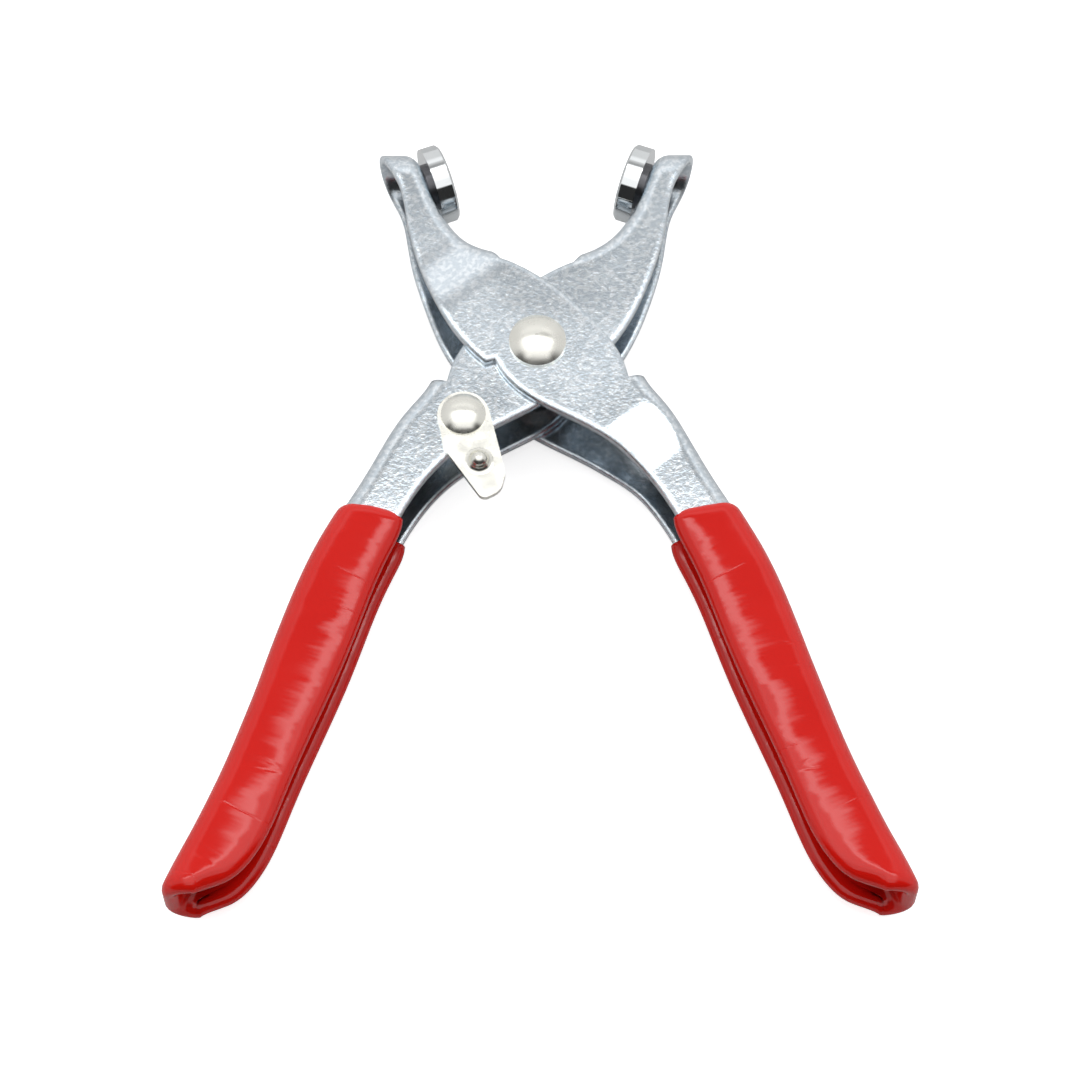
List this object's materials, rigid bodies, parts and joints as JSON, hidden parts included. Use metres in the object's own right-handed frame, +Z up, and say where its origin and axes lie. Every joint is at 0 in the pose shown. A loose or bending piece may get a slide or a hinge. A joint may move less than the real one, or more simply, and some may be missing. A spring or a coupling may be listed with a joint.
{
  "type": "press fastener pliers",
  "caption": "Hand pliers for setting press fasteners: crossed sheet-steel channel levers on a domed rivet, round die holders, a swing latch and dipped red grips.",
  "frame": {"origin": "on the surface the pliers lie on, under the middle of their length and width, 30 mm below the main rivet's axis in plan", "axes": "+Z up along the main rivet towards its domed head, +Y towards the jaws, +X to the right seen from the domed head"},
  "size_m": [0.1328, 0.152, 0.0219],
  "materials": {
    "plated_steel": "bright zinc plating with a fine mottled grain",
    "grip_vinyl": "glossy dipped vinyl",
    "nickel": "smooth nickel plate, slightly warm",
    "chrome": "polished chrome",
    "spring_wire": "drawn spring wire",
    "bush_steel": "turned steel"
  },
  "bodies": {
    "inner_side": {"inner_lever": "plated_steel", "inner_grip": "grip_vinyl", "inner_die_holder": "chrome", "inner_die_spacer": "bush_steel", "inner_die_rivet": "nickel", "inner_die_washer": "nickel", "pivot_rivet": "nickel", "pivot_washer": "nickel", "pivot_bush": "bush_steel", "opening_spring": "spring_wire", "latch_rivet": "nickel", "latch_washer": "nickel"},
    "outer_side": {"outer_lever": "plated_steel", "outer_grip": "grip_vinyl", "outer_die_holder": "chrome", "outer_die_spacer": "bush_steel", "outer_die_rivet": "nickel", "outer_die_washer": "nickel"},
    "latch": {"latch_plate": "nickel", "latch_stud": "nickel"}
  },
  "joints": [
    {"name": "squeeze", "type": "hinge", "parent": "inner_side", "child": "outer_side", "pos_m": [0, 0.03, 0.01069], "axis": [0, 0, -1], "range_deg": [0, 37.5], "deforming": ["opening_spring"]},
    {"name": "latch_swing", "type": "hinge", "parent": "inner_side", "child": "latch", "pos_m": [-0.0136, 0.0152, 0.01829], "axis": [0, 0, 1], "range_deg": [-160, 5]}
  ]
}
